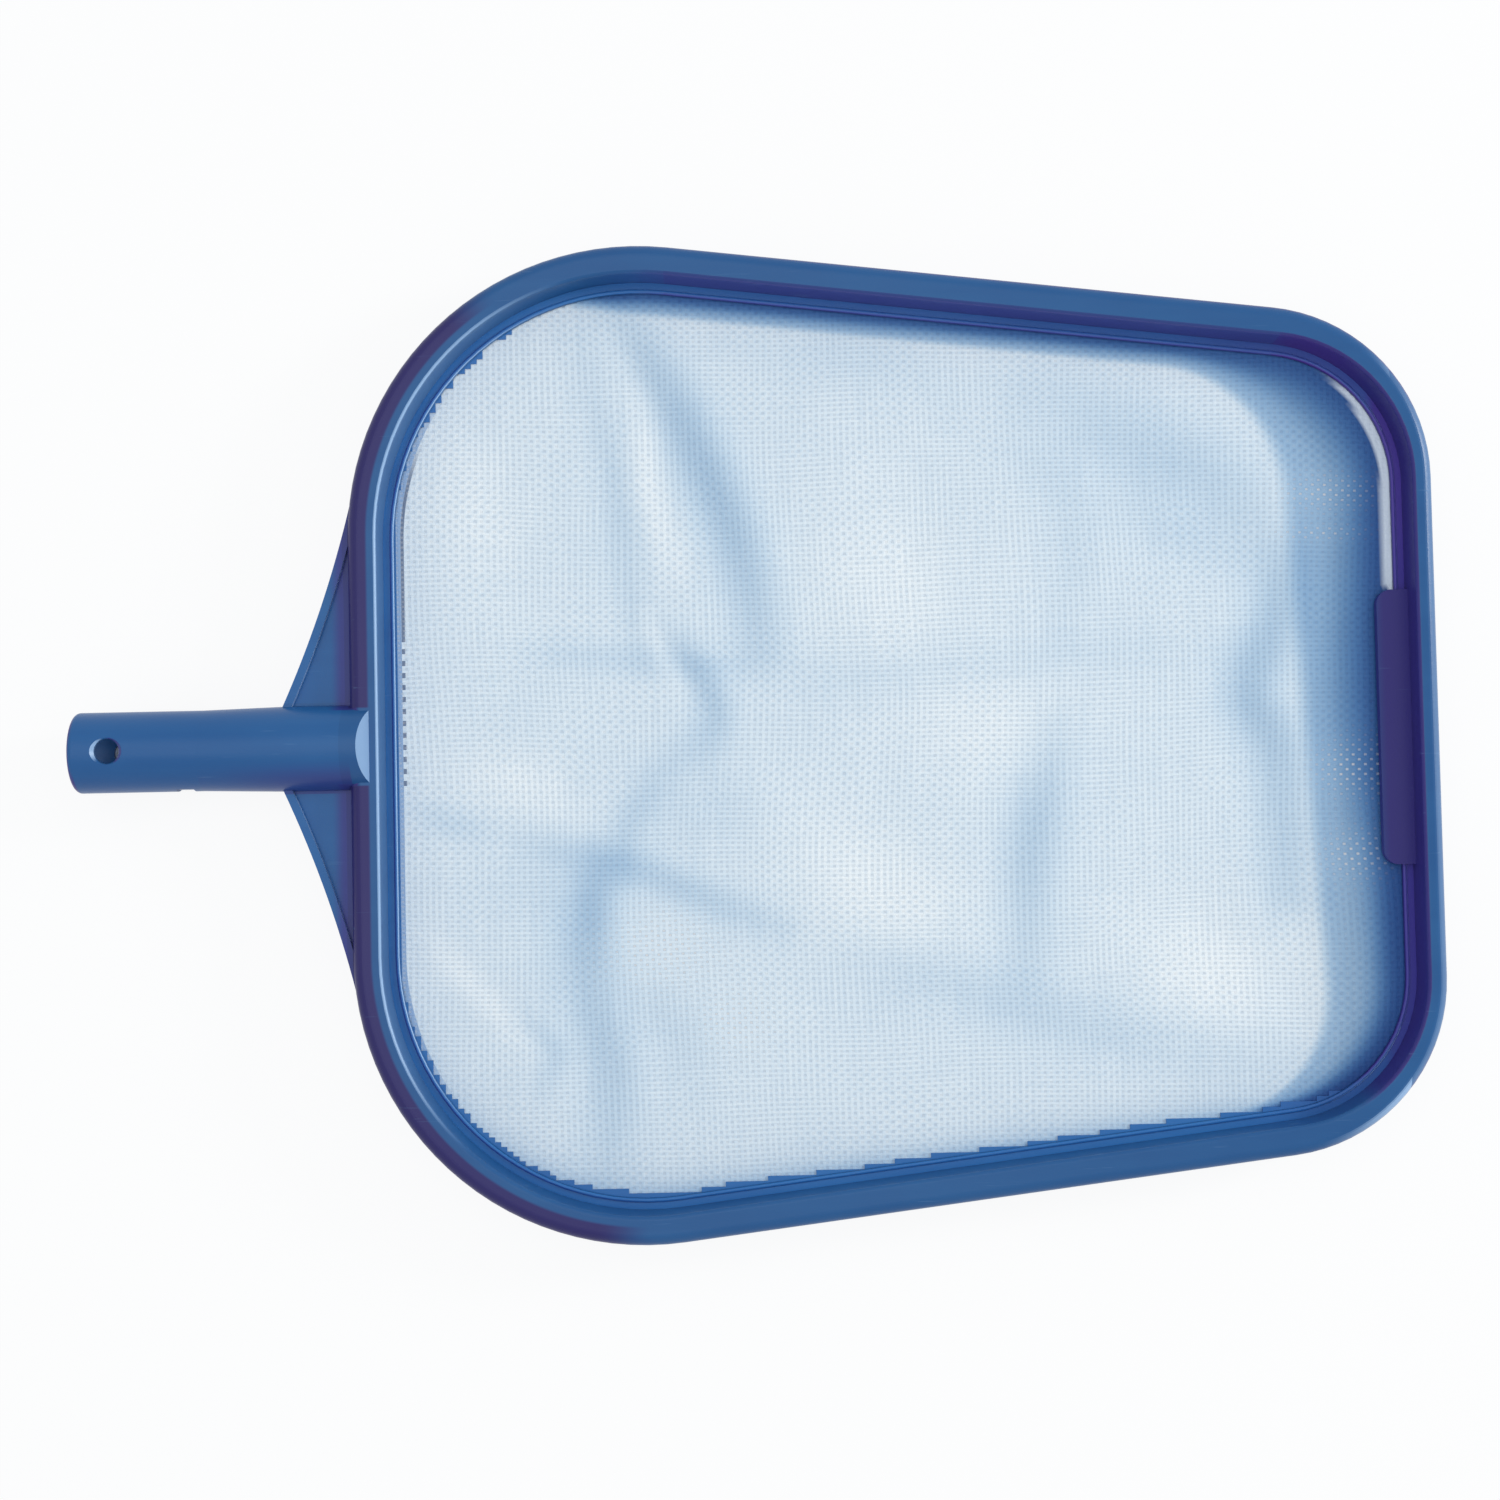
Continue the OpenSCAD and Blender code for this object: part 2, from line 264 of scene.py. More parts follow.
def smooth_path(points, steps=6):
    """A path through the points: a Catmull-Rom cubic between each two, whose
    slope at a point is half the step between that point's neighbours."""
    p = np.asarray(points, float)
    p = np.concatenate([[2 * p[0] - p[1]], p, [2 * p[-1] - p[-2]]])
    t = np.linspace(0.0, 1.0, steps, endpoint=False)[:, None, None]
    a, b, c, d = p[:-3], p[1:-2], p[2:-1], p[3:]
    curve = 0.5 * (
        2 * b
        + (c - a) * t
        + (2 * a - 5 * b + 4 * c - d) * t**2
        + (3 * b - a - 3 * c + d) * t**3
    )
    return np.concatenate([curve.transpose(1, 0, 2).reshape(-1, 2), p[-2:-1]])


def fold_field(points, width, depth, path):
    """Height per slope and strength of one fold. With d the distance from its
    path, w the half width and s the share of the way along it, the strength is
    the depth times exp(-(d / w) squared) times a bow, 0.5 plus 0.7 times the
    sine of s half turns. The height is the strength times the distance across
    the path towards the key light, so the cloth is steepest on the path, where
    it turns from the light. Points further off than 2.6 w are left alone."""
    way = smooth_path(path) * MM
    margin = 2.6 * width * MM
    low, high = way.min(0) - margin, way.max(0) + margin
    reached = np.flatnonzero(((points > low) & (points < high)).all(1))
    start, run = way[:-1], np.diff(way, axis=0)
    gap = points[reached, None, :] - start[None]
    t = np.clip((gap * run).sum(2) / (run**2).sum(1), 0.0, 1.0)
    gap = gap - t[..., None] * run
    square = (gap**2).sum(2)
    near = square.argmin(1)
    row = np.arange(len(reached))
    across = np.stack([-run[:, 1], run[:, 0]], 1)
    across /= np.hypot(*across.T)[:, None]
    side = (gap[row, near] * across[near]).sum(1)
    share = (near + t[row, near]) / len(run)
    bow = 0.5 + 0.7 * np.sin(math.pi * share)
    here = depth * bow * np.exp(-square[row, near] / (width * MM) ** 2)
    rise, strength = np.zeros(len(points)), np.zeros(len(points))
    rise[reached] = side * (across[near] @ KEY_PLAN) * here
    strength[reached] = here
    return rise, strength


def net_surface(rings, spokes, sag, slope):
    """The net as a grid of two parameters, the share of the way out from its
    centre and the place along the outline. A point is the centre plus the
    share times the outline's offset from it. Its height is the slot's level,
    less a bowl that deepens over 75 mm from the bead, plus the folds, which
    fade out over the last 14 mm before it."""
    rim = head_outline(SLOT_INSET, spokes)
    centre = np.array(NET_CENTRE)
    share = np.linspace(0.0, 1.0, rings + 1)[1:, None, None]
    plan = (centre + share * (rim - centre)).reshape(-1, 2)
    plan = np.concatenate([[centre], plan])
    inwards, outward = distance_inwards(plan, BEAD_INSET)
    height = np.zeros(len(plan))
    creased = np.zeros(len(plan))
    for width, depth, path in FOLDS:
        rise, strength = fold_field(plan, width, depth, path)
        height += slope * rise
        creased += strength
    held = smooth(inwards / (14 * MM))
    bowl = sag * smooth(inwards / (75 * MM))
    z = NET_LEVEL - bowl + held * height
    return np.column_stack([plan, z]), inwards, outward, creased


def painted_rim_shade(plan, inwards, outward):
    """How deep the painted shade beside the bead lies on the threads, as the
    logarithm of the light that it takes: the rim's shadow on the net and on the
    ground under it, painted into the colour. It covers what lies outside a
    copy of the bead's outline that is moved back, a little more so on the
    left, and to the right. Its reach at a point is the distance from the bead
    plus the distance from that copy, and it comes in over the first 5 mm of
    reach. It is even, 0.74, over that reach, and deepens by 3 towards the bead
    as a bell of the distance from it, whose half width is 0.33 of the reach
    and up to 0.19 more beside the middle of the leading edge, by a bell of y.
    Where the outline faces left the bell is wider by 0.15 of the reach and
    less deep by 0.6. Where it faces right there is a thin painted shade of its
    own, 0.75 times exp(-distance / 3 mm)."""
    y = plan[:, 1]
    left = np.clip(outward[:, 1], 0.0, 1.0)
    right = np.clip(-outward[:, 1], 0.0, 1.0)
    beside = np.clip(inwards, 0.0, None)
    shift = np.column_stack([RIM_SHADE_BACK + RIM_SHADE_SKEW * y, np.full(len(y), RIM_SHADE_RIGHT)])
    within = distance_inwards(plan + shift, BEAD_INSET)[0]
    reach = np.clip(beside - within, 0.0, None)
    present = smooth(reach / (5 * MM))
    even = 0.74 * smooth(0.5 - within / (0.2 * reach + 1.5 * MM))
    share = 0.33 + 0.19 * bell((y - 10 * MM) / (40 * MM)) + 0.15 * left
    deep = (3.0 - 0.6 * left) * bell(beside / np.clip(share * reach, 1.5 * MM, None))
    return present * (even + deep) + 0.75 * right**2 * np.exp(-beside / (3 * MM))


def pulled_open(plan):
    """How far the weave is pulled open, from 0 to 1: the greatest, over the
    patches, of a bell of the distance from a patch's middle, counted in its
    two half widths."""
    x, y = plan[:, 0] / MM, plan[:, 1] / MM
    pulled = np.zeros(len(plan))
    for middle_x, middle_y, half_x, half_y in OPEN_PATCHES:
        square = ((x - middle_x) / half_x) ** 2 + ((y - middle_y) / half_y) ** 2
        pulled = np.maximum(pulled, np.exp(-square))
    return pulled


def painted_lit_strip(plan, inwards):
    """How much painted light whitens the threads in a strip beside the bead,
    round the left corner of the leading edge: a product of three ramps says
    how much of the strip is there, from 40 to 112 mm to the left and from
    165 mm ahead, and the strip ends 2.4 mm from the bead where it is whole."""
    x, y = plan[:, 0], plan[:, 1]
    along = smooth((y - 40 * MM) / (3 * MM)) * smooth((112 * MM - y) / (22 * MM))
    there = smooth((x - 165 * MM) / (12 * MM)) * along
    width = 2.4 * MM * there
    white = np.where(there > 0.05, 1.0 - smooth((inwards - width) / (0.7 * MM)), 0.0)
    return white * smooth(there / 0.5)


def disc_faces(rings, spokes):
    """Triangles round the centre point and quads between neighbouring rings."""
    spoke = np.arange(spokes)
    after = (spoke + 1) % spokes
    fan = np.stack([np.zeros(spokes, int), 1 + after, 1 + spoke], 1)
    ring = 1 + spokes * np.arange(rings - 1)[:, None]
    quads = np.stack(
        [ring + spoke, ring + after, ring + spokes + after, ring + spokes + spoke], 2
    ).reshape(-1, 4)
    return fan.tolist() + quads.tolist()


def filled_cells(pitch, reach, waver):
    """Which cells of the weave the plastic filled: those whose middle lies
    between the bead's face and a reach inside it that wavers along the edge
    by a sum of sines of the cell's place. Where the outline faces right the
    reach is 1.4 times the given one, elsewhere -0.4 times it with half the
    waver, and along the leading edge it is held back by two cells. A cell is
    drawn from thread to thread, so the border steps from cell to cell."""
    wide, high = pitch
    nx = int((FRONT_X - BACK_X) / wide) + 2
    ny = int(2 * BACK_HALF / high) + 2
    first = (math.floor(BACK_X / wide), -(ny // 2))
    i, j = np.meshgrid(np.arange(nx), np.arange(ny), indexing="ij")
    middle = np.stack([(i + first[0]) * wide, (j + first[1]) * high], 2)
    inwards, outward = distance_inwards(middle.reshape(-1, 2), BEAD_INSET)
    inwards = inwards.reshape(nx, ny)
    outward = outward.reshape(nx, ny, 2)
    right = np.clip(-outward[..., 1], 0.0, 1.0)
    ahead = smooth((outward[..., 0] + 0.5 * outward[..., 1] + 0.1) / 0.3)
    wave = (
        np.sin(middle[..., 0] * 120 + 1.0)
        + np.sin(middle[..., 1] * 150 + 4.0)
        + np.sin((middle[..., 0] - middle[..., 1]) * 430)
    ) / 3
    far = reach * (1.8 * right - 0.4) + waver * wave * (0.5 + 0.5 * right)
    filled = (inwards > -0.7 * wide) & (inwards < far - 2.0 * ahead * wide)
    # a cell that meets another only at a corner gets a neighbour
    meet = filled[1:, 1:] & filled[:-1, :-1] & ~filled[1:, :-1] & ~filled[:-1, 1:]
    filled[1:, :-1] |= meet
    meet = filled[1:, :-1] & filled[:-1, 1:] & ~filled[1:, 1:] & ~filled[:-1, :-1]
    filled[1:, 1:] |= meet
    return filled, first


def cell_slab(filled, first, pitch, low, high):
    """A slab over the filled cells: a top and a bottom quad for each, and an
    upright quad wherever a filled cell has an empty neighbour."""
    nx, ny = filled.shape
    i, j = np.meshgrid(np.arange(nx + 1), np.arange(ny + 1), indexing="ij")
    plan = np.stack(
        [(i + first[0] - 0.5) * pitch[0], (j + first[1] - 0.5) * pitch[1]], 2
    ).reshape(-1, 2)
    count = len(plan)
    points = np.concatenate(
        [np.column_stack([plan, np.full(count, z)]) for z in (low, high)]
    )
    node = np.arange(count).reshape(nx + 1, ny + 1)
    corner = (node[:-1, :-1], node[1:, :-1], node[1:, 1:], node[:-1, 1:])
    quads = [np.stack([c[filled] for c in corner], 1) + count]
    quads.append(np.stack([c[filled] for c in corner[::-1]], 1))
    grown = np.pad(filled, 1)
    sides = (
        (grown[1:-1, :-2], corner[0], corner[1]),
        (grown[2:, 1:-1], corner[1], corner[2]),
        (grown[1:-1, 2:], corner[2], corner[3]),
        (grown[:-2, 1:-1], corner[3], corner[0]),
    )
    for beside, a, b in sides:
        edge = filled & ~beside
        quads.append(
            np.stack([a[edge], b[edge], b[edge] + count, a[edge] + count], 1)
        )
    quads = np.concatenate(quads)
    used, quads = np.unique(quads, return_inverse=True)
    return points[used], quads.reshape(-1, 4)


def new_piece(name, points, faces, shaded_smooth=True):
    """A mesh object at the origin from points and faces."""
    mesh = bpy.data.meshes.new(name)
    faces = faces if isinstance(faces, list) else faces.tolist()
    mesh.from_pydata(points.tolist(), [], faces)
    mesh.polygons.foreach_set("use_smooth", [shaded_smooth] * len(mesh.polygons))
    mesh.update()
    piece = bpy.data.objects.new(name, mesh)
    bpy.context.scene.collection.objects.link(piece)
    return piece


def point_values(piece, name, values):
    """Keeps one number per point of the mesh, for its material to read."""
    kept = piece.data.attributes.new(name, "FLOAT", "POINT")
    kept.data.foreach_set("value", np.asarray(values, np.float32))


# --------------------------------------------------------------- materials


class Wire:
    """A shader socket in Python arithmetic; each operator adds a Math node."""

    def __init__(self, recipe, socket):
        self.recipe, self.socket = recipe, socket

    def math(self, operation, *others, swapped=False):
        terms = [self, *others]
        if swapped:
            terms.reverse()
        return self.recipe.node(
            "ShaderNodeMath", {"operation": operation}, dict(enumerate(terms))
        )

    def __add__(self, other):
        return self.math("ADD", other)

    __radd__ = __add__

    def __mul__(self, other):
        return self.math("MULTIPLY", other)

    __rmul__ = __mul__

    def __sub__(self, other):
        return self.math("SUBTRACT", other)

    def __rsub__(self, other):
        return self.math("SUBTRACT", other, swapped=True)

    def __truediv__(self, other):
        return self.math("DIVIDE", other)

    def __rtruediv__(self, other):
        return self.math("DIVIDE", other, swapped=True)

    def __pow__(self, other):
        return self.math("POWER", other)

    def __neg__(self):
        return self.math("MULTIPLY", -1.0)

    def __abs__(self):
        return self.math("ABSOLUTE")

    def __gt__(self, other):
        return self.math("GREATER_THAN", other)

    def __lt__(self, other):
        return self.math("LESS_THAN", other)

    def least(self, other):
        return self.math("MINIMUM", other)

    def most(self, other):
        return self.math("MAXIMUM", other)

    def cosine(self):
        return self.math("COSINE")

    def ramp(self, low, high):
        """A smooth step from 0 at low to 1 at high."""
        return self.recipe.node(
            "ShaderNodeMapRange",
            {"interpolation_type": "SMOOTHSTEP"},
            {"Value": self, "From Min": low, "From Max": high},
        )


class Recipe:
    """One node tree, with one method that adds any node."""

    def __init__(self, owner):
        owner.use_nodes = True
        self.tree = owner.node_tree
        self.tree.nodes.clear()

    def node(self, kind, settings=None, sockets=None, output=0):
        """Adds a node, sets its settings and then its sockets' values or links,
        and hands back the named output, if it has one."""
        made = self.tree.nodes.new(kind)
        for name, value in (settings or {}).items():
            setattr(made, name, value)
        for name, value in (sockets or {}).items():
            if isinstance(value, Wire):
                self.tree.links.new(value.socket, made.inputs[name])
            else:
                made.inputs[name].default_value = value
        return Wire(self, made.outputs[output]) if len(made.outputs) else made

    def more(self, wire, output):
        """Another output of the node that a wire comes from."""
        return Wire(self, wire.socket.node.outputs[output])

    def mix(self, share, first, second):
        """A colour between two colours."""
        return self.node(
            "ShaderNodeMix",
            {"data_type": "RGBA"},
            {0: share, 6: first, 7: second},
            output=2,
        )

    def tinted(self, colour, red, green, blue):
        """A colour times one factor per channel."""
        factors = self.node("ShaderNodeCombineXYZ", None, {0: red, 1: green, 2: blue})
        return self.node(
            "ShaderNodeVectorMath", {"operation": "MULTIPLY"}, {0: colour, 1: factors}
        )

    def noise(self, place, scale, detail=2.0, roughness=0.5):
        """A cloudy pattern about 0.5, its scale in turns per metre."""
        return self.node(
            "ShaderNodeTexNoise",
            None,
            {"Vector": place, "Scale": scale, "Detail": detail, "Roughness": roughness},
        )

    def place(self):
        """The place on the part, in metres."""
        return self.node("ShaderNodeTexCoord", output="Object")

    def mapped(self, place, **sockets):
        """A place that is moved, turned or stretched."""
        return self.node("ShaderNodeMapping", None, {"Vector": place, **sockets})

    def parts(self, vector):
        """The three numbers of a vector."""
        x = self.node("ShaderNodeSeparateXYZ", None, {0: vector})
        return x, self.more(x, 1), self.more(x, 2)

    def kept(self, name):
        """The number that is kept per point of the mesh under a name."""
        return self.node("ShaderNodeAttribute", {"attribute_name": name}, output="Fac")

    def plain_rays(self):
        """The Light Path node, and 1 for the rays that see the ground and the
        sky as plain white: from the camera, in gloss and through glass."""
        path = self.node("ShaderNodeLightPath", output="Is Camera Ray")
        seen = path.most(self.more(path, "Is Glossy Ray"))
        return path, seen.most(self.more(path, "Is Transmission Ray"))

    def bump(self, height, distance, strength=1.0):
        """The normal of a surface that a height from 0 to 1 raises."""
        return self.node(
            "ShaderNodeBump",
            None,
            {"Height": height, "Distance": distance, "Strength": strength},
            output="Normal",
        )

    def surface(self, shader):
        """Ends a material's tree."""
        self.node("ShaderNodeOutputMaterial", None, {"Surface": shader})


def opaque(colour):
    """A setting's red, green and blue with a full alpha."""
    return tuple(colour) + (1.0,)


def back_corner(x, y):
    """Of a place behind the centres of the back corners: how far inside the
    outline it lies, and how much of the outward direction there points back
    and to the left. The first is the radius less the distance to the nearer
    centre, of which only what lies behind it and further out than it counts."""
    behind = (BACK_CORNER[0] - x).most(0.0)
    beside = (abs(y) - BACK_CORNER[1]).most(0.0)
    far = ((behind * behind + beside * beside) ** 0.5).most(1 * MM)
    side = (y > 0.0) * 2.0 - 1.0
    return BACK_RADIUS - far, behind / far, beside * side / far


def painted_shade_turned_faces(x, y, z, nx, ny, level, turned):
    """Share of violet painted shade on the faces turned from the light side. It
    rises with how far the level direction of a face points from the key light,
    and more softly on the skirt outside the rim, where that direction points
    away from the net's centre. A face has to be upright for it too, and behind
    the rim more so, which keeps the spigot's cone blue."""
    away = turned.ramp(0.22, 0.50)
    skirt = (x - NET_CENTRE[0]) * nx + y * ny > 0.0
    skirt = skirt * (SKIRT_TOP - z).ramp(0.0, 2 * MM) * (x > BACK_X - 0.5 * MM)
    away = away + (turned.ramp(-0.2, 1.0) * 0.7 - away) * skirt
    return away * (level - (x < BACK_X - 1 * MM) * 0.4).ramp(0.10, 0.40)


def painted_shade_in_pan(x, y, z, left_ledge):
    """Share of violet painted shade on the step wall, ledge and bead, down in the
    rim's shade. It grows over 90 mm from the net's centre towards the left
    corner of the leading edge, is deepest along the leading edge, and is held
    back on the left ledge."""
    lightwards = (x - NET_CENTRE[0]) * 0.8 + y * 0.6
    deep = lightwards.ramp(0.0, 90 * MM) * (PAN_TOP - z).ramp(0.0, 1 * MM)
    deep = deep * (PAN_END - x).ramp(0.0, 1 * MM)
    deep = deep * (0.55 + (x - LEADING_WALL).ramp(0.0, 4 * MM) * 0.45)
    return deep * (1.0 - left_ledge * (LEFT_LEDGE_END - x).ramp(0.0, 50 * MM) * 0.6)


def painted_shade_shoulder(x, y, z):
    """Share of violet painted shade on the rounded shoulder round the back:
    where the outline's outward direction points from the key light, over the
    shoulder's width and height, but not on the spigot's crown."""
    inset, behind, beside = back_corner(x, y)
    turned = behind * float(KEY_PLAN[0]) - beside * float(KEY_PLAN[1])
    shoulder = turned.ramp(0.25, 0.45) * (inset > -0.3 * MM)
    shoulder = shoulder * (SHOULDER_WIDTH - inset).ramp(0.0, 1 * MM)
    shoulder = shoulder * (z - SHOULDER_FOOT).ramp(0.0, 1.5 * MM)
    return shoulder * (abs(y) - CROWN_HALF).ramp(0.0, 0.6 * MM)


def painted_shade_by_spigot(x, y, z):
    """Share of violet painted shade on the right-hand side of the spigot, which
    grows on the way to the rim, and on what is close to the rim's outer face,
    the gussets and the spigot's foot, where the rim's shadow falls."""
    right = (-3 * MM - y).ramp(0.0, 7 * MM) * (x - (BACK_X - 55 * MM)).ramp(0.0, 50 * MM)
    right = right * (x < BACK_X + 1 * MM) * 0.65 * (y > -SPIGOT_HALF)
    close = (x - (BACK_X - 6.5 * MM)).ramp(0.0, 4 * MM) * (x < BACK_X + 3 * MM)
    return right.most(close * (z < FLANGE_TOP) * 0.8)


def painted_highlight_edges(x, nx, ny, level):
    """Share of painted highlight, a pale blue, on the rounded edges that face
    the highlight side, which are neither level nor upright, less of it on the
    leading flange, and of painted light on the upright walls of the back half,
    most of it on the gussets'."""
    toward = (nx * HIGHLIGHT_SIDE[0] + ny * HIGHLIGHT_SIDE[1]) / level.most(0.01)
    facing = toward.ramp(0.45, 0.95)
    rounded = facing * level.ramp(0.20, 0.50) * (0.97 - level).ramp(0.0, 0.12)
    rounded = rounded * (1.0 - (x > LEADING_FLANGE) * 0.75)
    wall = facing * level.ramp(0.90, 0.97) * (x < 0.0)
    gusset = (x > GUSSETS_END) * (x < BACK_X - 1 * MM)
    return rounded.most(wall * (gusset * 0.6 + 0.2))


def moulded_plastic(name, finish):
    """Satin moulded plastic, with painted shade and painted light in its colour.
    Painted shade turns the blue towards violet on faces and on the shoulder
    turned from the light side, down in the pan and beside the spigot, and
    painted highlights make the rounded edges that face the light side pale.
    Painted light makes the ledge, what lies behind the rim and the left side's
    step wall and ledge a little lighter, and painted shade makes the shoulder
    darker. A fine moulded grain, faint flow marks along the part and a few
    dull scuffs lie over it."""
    material = bpy.data.materials.new(name)
    recipe = Recipe(material)
    place = recipe.place()
    x, y, z = recipe.parts(place)
    nx, ny, nz = recipe.parts(recipe.node("ShaderNodeNewGeometry", output="Normal"))
    level = (nx * nx + ny * ny) ** 0.5
    turned = -(nx * float(KEY_PLAN[0]) + ny * float(KEY_PLAN[1])) / level.most(0.01)
    ledge = (nz > 0.7) * (z > LEDGE_LOW) * (z < LEDGE_HIGH)
    left_side = (y - 30 * MM).ramp(0.0, 40 * MM)
    left_wall = turned.ramp(0.05, 0.35) * (-ny).ramp(0.6, 0.95) * left_side
    left_ledge = ledge * left_side
    # painted shade: violet where faces turn from the key light, down in the pan, on the
    # back shoulder and beside the spigot
    shoulder = painted_shade_shoulder(x, y, z)
    shade = painted_shade_turned_faces(x, y, z, nx, ny, level, turned)
    shade = shade.most(painted_shade_in_pan(x, y, z, left_ledge)).most(shoulder)
    shade = shade.most(painted_shade_by_spigot(x, y, z))
    # painted light on the ledge, behind the rim and on the left side's step wall and
    # ledge, painted shade on the shoulder
    painted_light_behind_rim = (x < BACK_X - 2 * MM) * 0.12
    painted_lightness = ledge * 0.6 - shoulder * 0.35 + painted_light_behind_rim
    painted_lightness = painted_lightness + painted_light_behind_rim * (abs(y) > SPIGOT_HALF) + 1.0
    tint = [
        painted_lightness + left_wall * wall_share + left_ledge * ledge_share
        for wall_share, ledge_share in zip(LEFT_WALL_PAINTED_LIGHT, LEFT_LEDGE_PAINTED_LIGHT)
    ]
    clouds = recipe.noise(place, 28.0, 3.0, 0.55)
    grain = recipe.noise(place, 1500.0, 2.0, 0.6)
    flow = recipe.noise(recipe.mapped(place, Scale=(6.0, 90.0, 90.0)), 1.0, 3.0, 0.6)
    scuff_place = recipe.mapped(
        place, Rotation=(0.0, 0.0, 0.6), Scale=(40.0, 700.0, 300.0)
    )
    scuffs = recipe.noise(scuff_place, 1.0, 2.0, 0.7).ramp(0.66, 0.78)
    colour = recipe.mix(
        clouds.ramp(0.3, 0.7) * 0.5 + flow.ramp(0.35, 0.65) * 0.5,
        opaque(finish.deep_blue),
        opaque(finish.light_blue),
    )
    colour = recipe.mix(shade * finish.violet_share, colour, opaque(finish.violet))
    colour = recipe.tinted(colour, *tint)
    colour = recipe.mix(scuffs * 0.18, colour, SCUFF_BLUE)
    # painted highlight on the rounded edges that face the light side
    pale = painted_highlight_edges(x, nx, ny, level) * finish.highlight_share
    colour = recipe.mix(pale, colour, opaque(finish.highlight_blue))
    rough = finish.roughness + (clouds - 0.5) * 0.12 + scuffs * 0.18
    height = grain * 0.5 + flow * 0.5
    shader = recipe.node(
        "ShaderNodeBsdfPrincipled",
        None,
        {
            "Base Color": colour,
            "Roughness": rough,
            "IOR": 1.5,
            "Specular IOR Level": 0.3,
            "Normal": recipe.bump(height, 0.00006),
        },
    )
    recipe.surface(shader)
    return material


def back_bead_marks(x, y):
    """Shares of the two marks beside the back edge's bead: a band of painted
    highlight, the bead's lit edge carried onto the net beside it, and a dark
    line inside it. The line breaks into dashes by a cosine of y, one turn per
    dash, and runs on unbroken to the left of them."""
    inset, behind, _ = back_corner(x, y)
    past_bead = inset - BEAD_INSET
    bead_highlight = (BEAD_HIGHLIGHT_BAND - past_bead).ramp(0.0, 0.3 * MM) * behind.ramp(0.75, 0.95)
    dark_line = (past_bead - DARK_LINE_START).ramp(0.0, 0.3 * MM)
    dark_line = dark_line * (DARK_LINE_END - past_bead).ramp(0.0, 0.3 * MM)
    dash = (y * (2 * math.pi / DASH_PITCH)).cosine() > 0.2
    dash = (y > DASH_LEFT).most(dash)
    dash = dash * behind.ramp(0.90, 0.98) * (y > DASH_RIGHT)
    return bead_highlight, dark_line * dash


